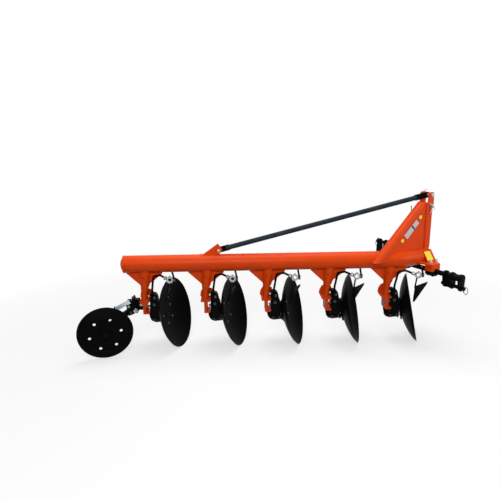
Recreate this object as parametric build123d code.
from build123d import *
import math
import os

# Disc plough with five discs, hung on a three-point linkage.
# Millimetres, X forward, Y left, Z up, floor at Z 0.

# Beam and legs
BEAM_R = 84.15
BEAM_WALL = 8.0
BEAM_ANGLE = 26.0
LEG_STEP = 600.0
LEG_COUNT = 5
REAR_OVERHANG = 200.0
BEND_START = 2408.0
BEND_R = 400.0
FRONT_RUN = 252.0
REAR_CAP_DEPTH = 32.0
FRONT_CAP_DEPTH = 26.0
CAP_T = 8.0
SHIFT_X = -998.72
SHIFT_Y = 721.03
SEAT = 0.2

# Discs
DISC_R = 352.0
DISC_SPHERE_R = 630.0
DISC_T = 8.0
DISC_FLAT_R = 75.0
DISC_AZ = -16.4
DISC_TILT = 11.1
DISC_DROP = 526.58
HUB_X = 173.5
HUB_Y = 120.76

DISC_Z = DISC_R * math.cos(math.radians(DISC_TILT))
BEAM_Z = DISC_Z + DISC_DROP
DISH = math.sqrt(DISC_SPHERE_R**2 - DISC_R**2)
FLAT_A = DISH - math.sqrt(DISC_SPHERE_R**2 - DISC_FLAT_R**2)
HUB_BACK = FLAT_A - DISC_T
DISC_X = HUB_X - HUB_BACK * math.cos(math.radians(DISC_TILT)) * math.cos(math.radians(DISC_AZ))
DISC_Y = HUB_Y - HUB_BACK * math.cos(math.radians(DISC_TILT)) * math.sin(math.radians(DISC_AZ))

# Cross shaft and linkage
SHAFT_R = 25.0
SHAFT_X = 2510.0
SHAFT_DROP = 110.0
LINK_SPREAD = 1010.0
LINK_MID_Y = -1067.0
LINK_GAP = 81.0
LINK_PIN_R = 18.3
CRANK_RIGHT = 87.0
CRANK_LEFT = 158.0

SHAFT_Z = BEAM_Z - SHAFT_DROP

# Mast
MAST_Y = -1062.0
MAST_W = 90.0
MAST_T = 8.0
EAR_T = 14.0
PIN_R = 12.7
PIN_X = 2603.0
TOP_PIN_UP = 610.0
LINK_PIN_UP = 503.0

# Furrow wheel
WHEEL_R = 262.5
WHEEL_AZ = -74.0
WHEEL_EL = -5.1
WHEEL_X = -366.0
WHEEL_Y = -237.0
WHEEL_T = 8.0
WHEEL_HOLES = 6
WHEEL_PCD = 297.0
WHEEL_HOLE_R = 14.0
AXLE_R = 20.0
FLOOR_GAP = 0.09

WHEEL_Z = WHEEL_R * math.cos(math.radians(WHEEL_EL)) + FLOOR_GAP


def placed(shape, s=0.0):
    """Place a shape drawn in the beam frame at the station s along the beam."""
    return Pos(SHIFT_X, SHIFT_Y, 0) * Rot(0, 0, -BEAM_ANGLE) * Pos(s, 0, 0) * shape


def shifted(shape):
    """Place a shape drawn in travel axes."""
    return Pos(SHIFT_X, SHIFT_Y, 0) * shape


def axis_frame(x, y, z, az, el):
    """Location whose local Z points along the azimuth az and elevation el."""
    a = math.radians(az)
    e = math.radians(el)
    direction = (math.cos(a) * math.cos(e), math.sin(a) * math.cos(e), math.sin(e))
    side = (-math.sin(a), math.cos(a), 0)
    return Plane(origin=(x, y, z), x_dir=side, z_dir=direction).location


def plate(points, y_from, y_to):
    """Flat plate between two values of Y. The outline is in X and in Z from the beam's axis."""
    outline = make_face(Polyline(*[(x, y_from, BEAM_Z + z) for x, z in points], close=True))
    return extrude(outline, amount=y_to - y_from, dir=(0, 1, 0))


def block(x, y, z):
    """Box between two values each of X, Y and Z, with Z from the beam's axis."""
    return Pos(x[0], y[0], BEAM_Z + z[0]) * Box(
        x[1] - x[0], y[1] - y[0], z[1] - z[0], align=(Align.MIN, Align.MIN, Align.MIN)
    )


def bar(start, end, radius):
    """Round bar between two points, with Z from the beam's axis."""
    a = Vector(start[0], start[1], BEAM_Z + start[2])
    span = Vector(end[0], end[1], BEAM_Z + end[2]) - a
    frame = Plane(origin=a, z_dir=span.normalized())
    return frame.location * Cylinder(radius, span.length, align=(Align.CENTER, Align.CENTER, Align.MIN))


def cross_bar(x, y, z, radius, length):
    """Round bar along Y round a point in travel axes."""
    return Pos(x, y, z) * Rot(90, 0, 0) * Cylinder(radius, length)


def ring_profile(points):
    """Turn an outline given as radius and height about Z."""
    outline = make_face(Polyline(*[(r, 0, h) for r, h in points], close=True))
    return revolve(outline, Axis.Z)


def dome(radius, depth):
    """Pressed end cap that bulges along Z."""
    sphere = (radius**2 + depth**2) / (2 * depth)
    steps = 6
    radii = [radius * (steps - k) / steps for k in range(steps + 1)]
    outside = [(r, math.sqrt(sphere**2 - r**2) - sphere + depth) for r in radii]
    inside = [(r * (radius - CAP_T) / radius, h - CAP_T) for r, h in outside[1:]]
    rim = [(radius - CAP_T, 0)]
    return ring_profile(outside + inside[::-1] + rim)


def save(shape, name):
    solids = shape.solids()
    body = solids[0] if len(solids) == 1 else shape
    body.label = name
    export_step(body, "parts/" + name + ".step")


os.makedirs("parts", exist_ok=True)

# Beam tube
ANGLE = math.radians(BEAM_ANGLE)
CLEAR_EXTRA = 60.0
bend = CenterArc((BEND_START, BEND_R, BEAM_Z), BEND_R, -90, BEAM_ANGLE)
bend_end = bend @ 1
forward = Vector(math.cos(ANGLE), math.sin(ANGLE), 0)


def beam_sweep(radius, extra):
    """Round bar along the beam's axis, longer by extra at both ends."""
    rear = (-REAR_OVERHANG - extra, 0, BEAM_Z)
    straight = Line(rear, (BEND_START, 0, BEAM_Z))
    front = Line(bend_end, bend_end + forward * (FRONT_RUN + extra))
    section = Plane(origin=rear, z_dir=(1, 0, 0)) * Circle(radius)
    return sweep(section, path=Wire([straight, bend, front]))


front_end = bend_end + forward * FRONT_RUN
save(placed(beam_sweep(BEAM_R, 0) - beam_sweep(BEAM_R - BEAM_WALL, 0)), "beam_tube")
CAP_R = BEAM_R - 3
rear_cap = axis_frame(-REAR_OVERHANG, 0, BEAM_Z, 180, 0) * dome(CAP_R, REAR_CAP_DEPTH)
save(placed(rear_cap), "beam_cap_rear")
front_cap = axis_frame(front_end.X, front_end.Y, BEAM_Z, BEAM_ANGLE, 0) * dome(CAP_R, FRONT_CAP_DEPTH)
save(placed(front_cap), "beam_cap_front")
beam_clear = beam_sweep(BEAM_R + SEAT, CLEAR_EXTRA)
travel_clear = Rot(0, 0, -BEAM_ANGLE) * beam_clear

# Legs
LEG_TUBE = [
    # height from the beam's axis, middle in X, radius
    (-30, 8, 60),
    (-225, -13, 39),
    (-300, -20, 29),
    (-379, -23, 28),
]
SHELF = (-386, -372)
FOOT = (-500, -484)
FOOT_X = (-33, 28)
CHANNEL_Y = (-50, 100)
WEB_X = (-33, -3)
GUSSET_T = 16.0
left_gusset = [(-182, -50), (-30, -50), (-30, -225), (-50, -215), (-65, -200), (-180, -92)]
right_gusset = [(10, -50), (172, -50), (165, -100), (77, -173), (44, -195), (26, -241), (0, -241)]
shelf_rib = [(-64, -373), (-38, -318), (-30, -373)]
sector = [(-78, -360), (-72, -320), (-50, -283), (-20, -268), (45, -290), (45, -395), (-55, -395)]
sections = [Pos(x, 0, BEAM_Z + z) * Circle(r) for z, x, r in LEG_TUBE]
leg_body = loft(sections, ruled=True)
leg_body += plate(left_gusset, -GUSSET_T / 2, GUSSET_T / 2)
leg_body += plate(right_gusset, -GUSSET_T / 2, GUSSET_T / 2)
leg_body += plate(shelf_rib, -6, 6)
shelf = block((-66, FOOT_X[1]), CHANNEL_Y, SHELF)
shelf = fillet(shelf.edges().filter_by(Axis.Z).group_by(Axis.Y)[0], 16)
leg_body += shelf
leg_body += block(WEB_X, (CHANNEL_Y[0] + 6, CHANNEL_Y[1]), (FOOT[0], SHELF[1]))
foot = block(FOOT_X, CHANNEL_Y, FOOT)
leg_body += fillet(foot.edges().filter_by(Axis.Z).group_by(Axis.Y)[0], 10)
leg_body += plate(sector, 88, 102)
for number in range(1, LEG_COUNT + 1):
    station = LEG_STEP * (number - 1)
    save(placed(leg_body - Pos(-station, 0, 0) * beam_clear, station), f"leg_{number}")

# Hubs, hub brackets and discs
FLANGE_R = 117.0
FLANGE_T = 16.0
SPINDLE_R = 25.0
BORE_R = 25.06
HOUSING_R = 84.0
HOUSING_TOP = HUB_BACK - FLANGE_T - 5
HOUSING_LOW = HUB_BACK - 171
disc_frame = axis_frame(DISC_X, DISC_Y, DISC_Z, DISC_AZ, DISC_TILT)
steps = 10
radii = [DISC_FLAT_R + (DISC_R - DISC_FLAT_R) * k / steps for k in range(steps + 1)]
inner = [(r, DISH - math.sqrt(DISC_SPHERE_R**2 - r**2)) for r in radii]
outer = [(r, h - DISC_T) for r, h in inner[:-1]]
disc_body = ring_profile([(20, FLAT_A)] + inner + outer[::-1] + [(20, FLAT_A - DISC_T)])
hub_body = ring_profile(
    [
        (0, FLAT_A + 6),
        (19.9, FLAT_A + 6),
        (19.9, HUB_BACK),
        (FLANGE_R, HUB_BACK),
        (FLANGE_R, HUB_BACK - 10),
        (HOUSING_R - 8, HUB_BACK - FLANGE_T),
        (SPINDLE_R, HUB_BACK - FLANGE_T),
        (SPINDLE_R, HOUSING_LOW + 12),
        (0, HOUSING_LOW + 12),
    ]
)
housing = ring_profile(
    [
        (0, HOUSING_TOP),
        (HOUSING_R - 8, HOUSING_TOP),
        (HOUSING_R, HOUSING_TOP - 10),
        (HOUSING_R, HOUSING_LOW + 47),
        (HOUSING_R - 14, HOUSING_LOW + 14),
        (HOUSING_R - 34, HOUSING_LOW),
        (0, HOUSING_LOW),
    ]
)
bore = Pos(0, 0, HOUSING_LOW + 10) * Cylinder(BORE_R, 200, align=(Align.CENTER, Align.CENTER, Align.MIN))
bearing_room = Pos(0, 0, HOUSING_LOW + 36) * Cylinder(
    HOUSING_R - 16, HOUSING_TOP - HOUSING_LOW - 60, align=(Align.CENTER, Align.CENTER, Align.MIN)
)
turning_room = ring_profile(
    [
        (0, HOUSING_TOP),
        (FLANGE_R + 8, HOUSING_TOP),
        (FLANGE_R + 40, HUB_BACK + 6),
        (FLANGE_R + 133, HUB_BACK + 38),
        (FLANGE_R + 133, 0),
        (0, 0),
    ]
)
TONGUE_X = FOOT_X[1] + SEAT
TONGUE_Y = 12.0
tongue = [
    (TONGUE_X, -560),
    (TONGUE_X, -322),
    (36, -309),
    (52, -304),
    (88, -315),
    (103, -340),
    (111, -382),
    (131, -435),
    (140, -470),
    (140, -560),
]
lower_tongue = [(TONGUE_X + 20, -560), (TONGUE_X + 20, -430), (118, -430), (126, -470), (126, -560)]
bracket_body = disc_frame * housing
bracket_body += plate(tongue, TONGUE_Y, 82)
bracket_body += plate(lower_tongue, 60, 130)
bracket_body -= disc_frame * (bore + bearing_room + turning_room)

# Scraper arms and blades, in front of the discs
ARM_R = 10.5
RING = (252, -121, -132)
RING_R = 33.0
RING_HOLE_R = 17.0
RING_W = 16.0
STEM_R = 7.5
BLADE_T = 8.0
arm_points = [
    (57, 1, -352),
    (61, -8, -262),
    (70, -22, -200),
    (84, -24, -122),
    (150, -40, -106),
    (226, -110, -127),
]
arm_path = FilletPolyline(*[(x, y, BEAM_Z + z) for x, y, z in arm_points], radius=20)
arm_body = sweep(Plane(origin=arm_path @ 0, z_dir=arm_path % 0) * Circle(ARM_R), path=arm_path)
arm_body += block((44, 96), (TONGUE_Y - SEAT - 8, TONGUE_Y - SEAT), (-376, -326))
eye = cross_bar(RING[0], RING[1], BEAM_Z + RING[2], RING_R, RING_W)
arm_body += eye
arm_body += block((283, 304), (-134, -108), (-150, -112))
arm_body += bar((278, -127, -48), (293, -121, -120), 9)
arm_body += bar((240, -119, -152), (226, -116, -262), STEM_R)
arm_body -= cross_bar(RING[0], RING[1], BEAM_Z + RING[2], RING_HOLE_R, 60)
blade_foot = Vector(225, -115, BEAM_Z - 245)
blade_tip = Vector(281, -274, BEAM_Z - 155)
blade_low = Vector(180, -200, BEAM_Z - 392)
blade_normal = (blade_tip - blade_foot).cross(blade_low - blade_foot).normalized()
blade_plane = Plane(origin=blade_foot, x_dir=blade_tip - blade_foot, z_dir=blade_normal)
blade_corners = [blade_foot, blade_tip, Vector(274, -275.5, BEAM_Z - 174), blade_low]
flat_corners = [blade_plane.to_local_coords(corner) for corner in blade_corners]
blade_outline = make_face(Polyline(*[(p.X, p.Y) for p in flat_corners], close=True))
blade_outline = fillet(blade_outline.vertices().sort_by(Axis.X)[:1], 12)
blade_body = blade_plane.location * extrude(blade_outline, amount=BLADE_T)
arm_body -= blade_plane.location * extrude(offset(blade_outline, 2), amount=BLADE_T)

for number in range(1, LEG_COUNT + 1):
    station = LEG_STEP * (number - 1)
    save(placed(disc_frame * disc_body, station), f"disc_{number}")
    save(placed(disc_frame * hub_body, station), f"hub_{number}")
    save(placed(bracket_body, station), f"hub_bracket_{number}")
    save(placed(arm_body, station), f"scraper_arm_{number}")
    save(placed(blade_body, station), f"scraper_blade_{number}")

# Brace between the beam and the mast
LUG_S = 720.0
LUG_UP = 125.0
LUG_PLATE_T = 12.0
BRACE_R = 24.15
FLAT_T = 14.0
SLEEVE_R = 15.0
lug_x = LUG_S * math.cos(ANGLE)
lug_y = -LUG_S * math.sin(ANGLE)
lug_z = BEAM_Z + LUG_UP
brace_az = math.degrees(math.atan2(MAST_Y - lug_y, PIN_X - lug_x))
brace_run = math.hypot(MAST_Y - lug_y, PIN_X - lug_x)
brace_rise = TOP_PIN_UP - LUG_UP
brace_slope = math.degrees(math.atan2(brace_rise, brace_run))
brace_span = math.hypot(brace_run, brace_rise)
brace_place = Pos(lug_x, lug_y, lug_z) * Rot(0, 0, brace_az)

brace = Pos(75, 0, 0) * Rot(0, 90, 0) * Cylinder(
    BRACE_R, brace_span - 195, align=(Align.CENTER, Align.CENTER, Align.MIN)
)
near_flat = Pos(50, 0, 0) * Box(150, FLAT_T, 56)
near_flat = fillet(near_flat.edges().filter_by(Axis.Y), 24)
far_flat = Pos(brace_span - 62, 0, 0) * Box(175, FLAT_T, 58)
far_flat = fillet(far_flat.edges().filter_by(Axis.Y), 26)
brace += near_flat + far_flat
brace -= cross_bar(0, 0, 0, SLEEVE_R + 0.1, 80)
far_hole = Rot(0, brace_slope, 0) * Rot(0, 0, -brace_az) * cross_bar(0, 0, 0, PIN_R + SEAT, 80)
brace -= Pos(brace_span, 0, 0) * far_hole
brace = Rot(0, -brace_slope, 0) * brace
save(shifted(brace_place * brace), "brace_rod")

lug = [(-190, -68), (-4, 62), (38, 4), (-6, -52), (-6, -90), (-185, -90)]
lug_outline = make_face(Polyline(*[(x, 0, z) for x, z in lug], close=True))
lug_side = extrude(lug_outline, amount=LUG_PLATE_T, dir=(0, 1, 0))
lug_gap = FLAT_T / 2 + 1.5
lug_plates = Pos(0, lug_gap, 0) * lug_side + Pos(0, -lug_gap - LUG_PLATE_T, 0) * lug_side
lug_plates -= cross_bar(0, 0, 0, SLEEVE_R + 0.1, 80)
save(shifted(brace_place * lug_plates - travel_clear), "brace_lug")
sleeve = cross_bar(0, 0, 0, SLEEVE_R, 64) - cross_bar(0, 0, 0, SLEEVE_R - 5, 64)
save(shifted(brace_place * sleeve), "brace_sleeve")

# Mast
BACK_LOW = (1935.0, -10.0)
BACK_TOP = (2505.0, 541.0)
FRONT_X = 2600.0
BACK_FILLET = 34.0
run = BACK_TOP[0] - BACK_LOW[0]
rise = BACK_TOP[1] - BACK_LOW[1]
slope = run / rise
wall_x = MAST_T * math.hypot(run, rise) / rise
mast_right = MAST_Y - MAST_W / 2
mast_left = MAST_Y + MAST_W / 2


def sloped_edges(body):
    """Edges along the sloping back of the mast."""
    found = []
    for edge in body.edges():
        tangent = edge.tangent_at(0)
        if abs(tangent.Y) < 0.01 and 0.3 < abs(tangent.X) < 0.9:
            found.append(edge)
    return found


outer = plate([BACK_LOW, BACK_TOP, (FRONT_X, BACK_TOP[1]), (FRONT_X, BACK_LOW[1])], mast_right, mast_left)
outer = fillet(sloped_edges(outer), BACK_FILLET)
inner_low = (BACK_LOW[0] + wall_x - 20 * slope, BACK_LOW[1] - 20)
inner_top = (BACK_TOP[0] + wall_x + 20 * slope, BACK_TOP[1] + 20)
inner_outline = [inner_low, inner_top, (FRONT_X + 80, inner_top[1]), (FRONT_X + 80, inner_low[1])]
inner = plate(inner_outline, mast_right + MAST_T, mast_left - MAST_T)
inner = fillet(sloped_edges(inner), BACK_FILLET - MAST_T)
mast = outer - inner - travel_clear
mast -= cross_bar(PIN_X, MAST_Y, BEAM_Z + LINK_PIN_UP, PIN_R + 0.1, MAST_W + 20)
save(shifted(mast), "mast_shell")

EAR = [
    (2549, 20),
    (2612, 20),
    (2622, 500),
    (2636, 512),
    (2636, 625),
    (2624, 640),
    (2578, 640),
    (2566, 628),
    (2566, 545),
    (2549, 540),
]
PIN_HEIGHTS = (("brace_pin", TOP_PIN_UP), ("top_link_pin", LINK_PIN_UP))
PIN_HEAD_R = 19.0
PIN_HEAD_T = 16.0
for name, y_from in (("right", mast_right - EAR_T), ("left", mast_left)):
    ear = plate(EAR, y_from, y_from + EAR_T)
    for pin_name, up in PIN_HEIGHTS:
        ear -= cross_bar(PIN_X, MAST_Y, BEAM_Z + up, PIN_R + 0.1, MAST_W + 2 * EAR_T + 20)
    save(shifted(ear - travel_clear), "mast_ear_" + name)

for pin_name, up in PIN_HEIGHTS:
    pin = cross_bar(PIN_X, MAST_Y, BEAM_Z + up, PIN_R, MAST_W + 2 * EAR_T + 56)
    head_y = mast_right - EAR_T - 0.3 - PIN_HEAD_T / 2
    pin += cross_bar(PIN_X, head_y, BEAM_Z + up, PIN_HEAD_R, PIN_HEAD_T)
    save(shifted(pin), pin_name)

# Brackets and clamps for the cross shaft, with a sloping cover on the right one only
BEAM_FRONT_Y = front_end.rotate(Axis.Z, -BEAM_ANGLE).Y
BLOCK_X = (SHAFT_X - 55, SHAFT_X + 52)
CLAMP_X = (SHAFT_X - 55, SHAFT_X + 45)
BLOCK_OUT = (134.0, 224.0)
SHELF_TOP = -37.0
SHELF_T = 14.0
COVERED = "right"
COVER_X = (SHAFT_X - 15, SHAFT_X + 95)
CLAMP_LOW = 45.0
BRACKET_SHELF = [
    # distance from the shaft in X, distance from the beam's axis in Y
    (-107, 14),
    (-55, BLOCK_OUT[1]),
    (52, BLOCK_OUT[1]),
    (102, 129),
    (102, 14),
]
COVER = [
    # distance from the beam's axis in Y and Z
    (50, 66),
    (57, 72),
    (136, SHELF_TOP),
    (122, SHELF_TOP),
]
for name, side in (("right", -1), ("left", 1)):
    far_y = sorted(BEAM_FRONT_Y + side * v for v in BLOCK_OUT)
    shelf_z = BEAM_Z + SHELF_TOP - SHELF_T
    corners = [(SHAFT_X + x, BEAM_FRONT_Y + side * y, shelf_z) for x, y in BRACKET_SHELF]
    bracket = extrude(make_face(Polyline(*corners, close=True)), amount=SHELF_T, dir=(0, 0, 1))
    bracket += block(BLOCK_X, far_y, (-SHAFT_DROP, SHELF_TOP))
    corners = [(COVER_X[0], BEAM_FRONT_Y + side * y, BEAM_Z + z) for y, z in COVER]
    if name == COVERED:
        cover_end = make_face(Polyline(*corners, close=True))
        bracket += extrude(cover_end, amount=COVER_X[1] - COVER_X[0], dir=(1, 0, 0))
    bracket -= travel_clear
    shaft_hole = cross_bar(SHAFT_X, sum(far_y) / 2, SHAFT_Z, SHAFT_R + 0.06, 120)
    save(shifted(bracket - shaft_hole), "shaft_bracket_" + name)
    clamp_y = (far_y[0] + 3, far_y[1] - 3)
    clamp = block(CLAMP_X, clamp_y, (-SHAFT_DROP - CLAMP_LOW, -SHAFT_DROP - 0.3))
    clamp = chamfer(clamp.edges().group_by(Axis.Z)[0].filter_by(Axis.Y), 20)
    save(shifted(clamp - shaft_hole), "shaft_clamp_" + name)

# Cross shaft with its two cranked hitch ends
SHAFT_PAST = 68.0
shaft_length = LINK_SPREAD + 2 * SHAFT_PAST
save(shifted(cross_bar(SHAFT_X, LINK_MID_Y, SHAFT_Z, SHAFT_R, shaft_length)), "cross_shaft")

CLEVIS_T = 20.0
CLEVIS_BOSS_R = 42.0
CLEVIS_LOBE_R = 33.0
THIRD_PLATE = 77.0
HITCHES = [
    # name, side of the linkage, height of the pin above the shaft
    ("right", -1, -CRANK_RIGHT),
    ("left", 1, CRANK_LEFT),
]
for name, side, pin_up in HITCHES:
    hitch_y = LINK_MID_Y + side * LINK_SPREAD / 2
    upright = Plane(origin=(SHAFT_X, 0, SHAFT_Z), x_dir=(1, 0, 0), z_dir=(0, -1, 0))
    circles = Circle(CLEVIS_BOSS_R).edges() + (Pos(0, pin_up) * Circle(CLEVIS_LOBE_R)).edges()
    cheek = extrude(upright * make_hull(circles), amount=CLEVIS_T / 2, both=True)
    plate_off = (LINK_GAP + CLEVIS_T) / 2
    clevis = Pos(0, hitch_y + side * plate_off, 0) * cheek
    clevis += Pos(0, hitch_y - side * plate_off, 0) * cheek
    clevis += Pos(0, hitch_y - side * (plate_off + THIRD_PLATE), 0) * cheek
    block_up = pin_up + math.copysign(21, pin_up)
    block_z = sorted((-SHAFT_DROP - math.copysign(25, pin_up), -SHAFT_DROP + block_up))
    block_y = hitch_y - side * (plate_off + THIRD_PLATE / 2)
    block_half = (THIRD_PLATE - CLEVIS_T) / 2 + 1
    clevis += block((SHAFT_X - 24, SHAFT_X + 24), (block_y - block_half, block_y + block_half), block_z)
    clevis += cross_bar(SHAFT_X, hitch_y, SHAFT_Z, CLEVIS_LOBE_R, LINK_GAP + 2)
    clevis -= cross_bar(SHAFT_X, hitch_y, SHAFT_Z, SHAFT_R + 0.1, 500)
    clevis -= cross_bar(SHAFT_X, hitch_y, SHAFT_Z + pin_up, LINK_PIN_R + 0.1, 500)
    save(shifted(clevis), "hitch_clevis_" + name)
    pin = cross_bar(SHAFT_X, hitch_y - side * 37, SHAFT_Z + pin_up, LINK_PIN_R, 260)
    save(shifted(pin), "hitch_pin_" + name)

# Furrow wheel
RIB_T = 4.0
wheel_frame = axis_frame(WHEEL_X, WHEEL_Y, WHEEL_Z, WHEEL_AZ, WHEEL_EL)
WHEEL_FACE = [
    # radius, height along the axle
    (WHEEL_R, 1),
    (WHEEL_R - 6.5, 6),
    (WHEEL_R - 24.5, 14),
    (WHEEL_R - 62.5, 30),
    (WHEEL_R - 84.5, 38),
    (WHEEL_R - 91, 43),
    (WHEEL_R - 96, 43),
    (WHEEL_R - 98.6, 38),
    (62, 38),
    (30.2, 38),
]
wheel_back = [(r, a - WHEEL_T) for r, a in WHEEL_FACE[1:]]
wheel = ring_profile(WHEEL_FACE + wheel_back[::-1])
for angle in (43, 163, 283):
    rib = Pos(78, 0, 38) * Box(88, 26, 2 * RIB_T)
    wheel += Rot(0, 0, angle) * fillet(rib.edges().filter_by(Axis.Z), 10)
for k in range(WHEEL_HOLES):
    hole = Pos(WHEEL_PCD / 2, 0, 34) * Cylinder(WHEEL_HOLE_R, 30)
    wheel -= Rot(0, 0, 360 / WHEEL_HOLES * k + 9.5) * hole
save(placed(wheel_frame * wheel), "furrow_wheel")
wheel_hub = ring_profile(
    [
        (AXLE_R + 0.06, -62),
        (46, -62),
        (46, 18),
        (62, 24),
        (62, 30),
        (30, 30),
        (30, 58),
        (24, 66),
        (0, 66),
        (0, 56),
        (AXLE_R + 0.06, 56),
    ]
)
save(placed(wheel_frame * wheel_hub), "wheel_hub")

# Crank with the wheel's axle, its swivel plate, arm and strut
AXLE_BACK = -68.0
CRANK_END = (-142.0, -76.0, -440.0)
CRANK_W = 50.0
CRANK_T = 44.0
CRANK_BOSS_R = 40.0
STRUT_W = 40.0
STRUT_T = 16.0
STRUT_LOW = (-281.0, -110.0, -416.0)
STRUT_TOP = (-150.0, -80.0, -354.0)
# The outlines below are in X and Z from the beam's axis
SWIVEL = [(-131, -325), (-117, -325), (-82, -476), (-96, -476)]
ARM = [(-110.8, -351), (-66.3, -351), (-66.3, -386.3), (-33.2, -386.3), (-33.2, -459), (-85.8, -459)]
CRANK_HEAD = [(-186, -385), (-117.3, -385), (-98.3, -467), (-120, -480), (-162, -495)]
STRUT_EAR = [(-186, -386), (-172, -336), (-130, -336), (-117.3, -386)]
STRUT_LUG = [(-300, -396), (-262, -396), (-258, -520), (-300, -545)]
BEHIND_SWIVEL = [(-131.2, -325), (-60, -325), (-60, -500), (-90.7, -500)]
save(placed(plate(SWIVEL, -80, 34)), "wheel_swivel_plate")
save(placed(plate(ARM, -30, 30)), "wheel_arm")
strut_start = Vector(STRUT_LOW[0], STRUT_LOW[1], BEAM_Z + STRUT_LOW[2])
strut_axis = Vector(STRUT_TOP[0], STRUT_TOP[1], BEAM_Z + STRUT_TOP[2]) - strut_start
strut_plane = Plane(origin=strut_start, x_dir=(0, 0, 1), z_dir=strut_axis.normalized())
save(placed(extrude(strut_plane * Rectangle(STRUT_W, STRUT_T), amount=strut_axis.length)), "wheel_strut")
strut_clear = strut_plane * Rectangle(STRUT_W + 2 * SEAT, STRUT_T + 2 * SEAT)
axle = Pos(0, 0, 50) * Cylinder(AXLE_R, 50 - AXLE_BACK, align=(Align.CENTER, Align.CENTER, Align.MAX))
axle += Pos(0, 0, AXLE_BACK) * Cylinder(CRANK_BOSS_R, 60, align=(Align.CENTER, Align.CENTER, Align.MAX))
crank_start = (wheel_frame * Pos(0, 0, AXLE_BACK - 32)).position
crank_axis = Vector(CRANK_END[0], CRANK_END[1], BEAM_Z + CRANK_END[2]) - crank_start
crank_plane = Plane(origin=crank_start, x_dir=(0, 0, 1), z_dir=crank_axis.normalized())
crank = extrude(crank_plane * Rectangle(CRANK_W, CRANK_T), amount=crank_axis.length)
crank += wheel_frame * axle
crank += plate(CRANK_HEAD, -98, -50)
crank += plate(STRUT_EAR, -76, -54)
crank += plate(STRUT_LUG, -104, -92)
crank -= extrude(strut_clear, amount=strut_axis.length + 1)
crank -= plate(BEHIND_SWIVEL, -120, 40)
save(placed(crank), "wheel_crank")
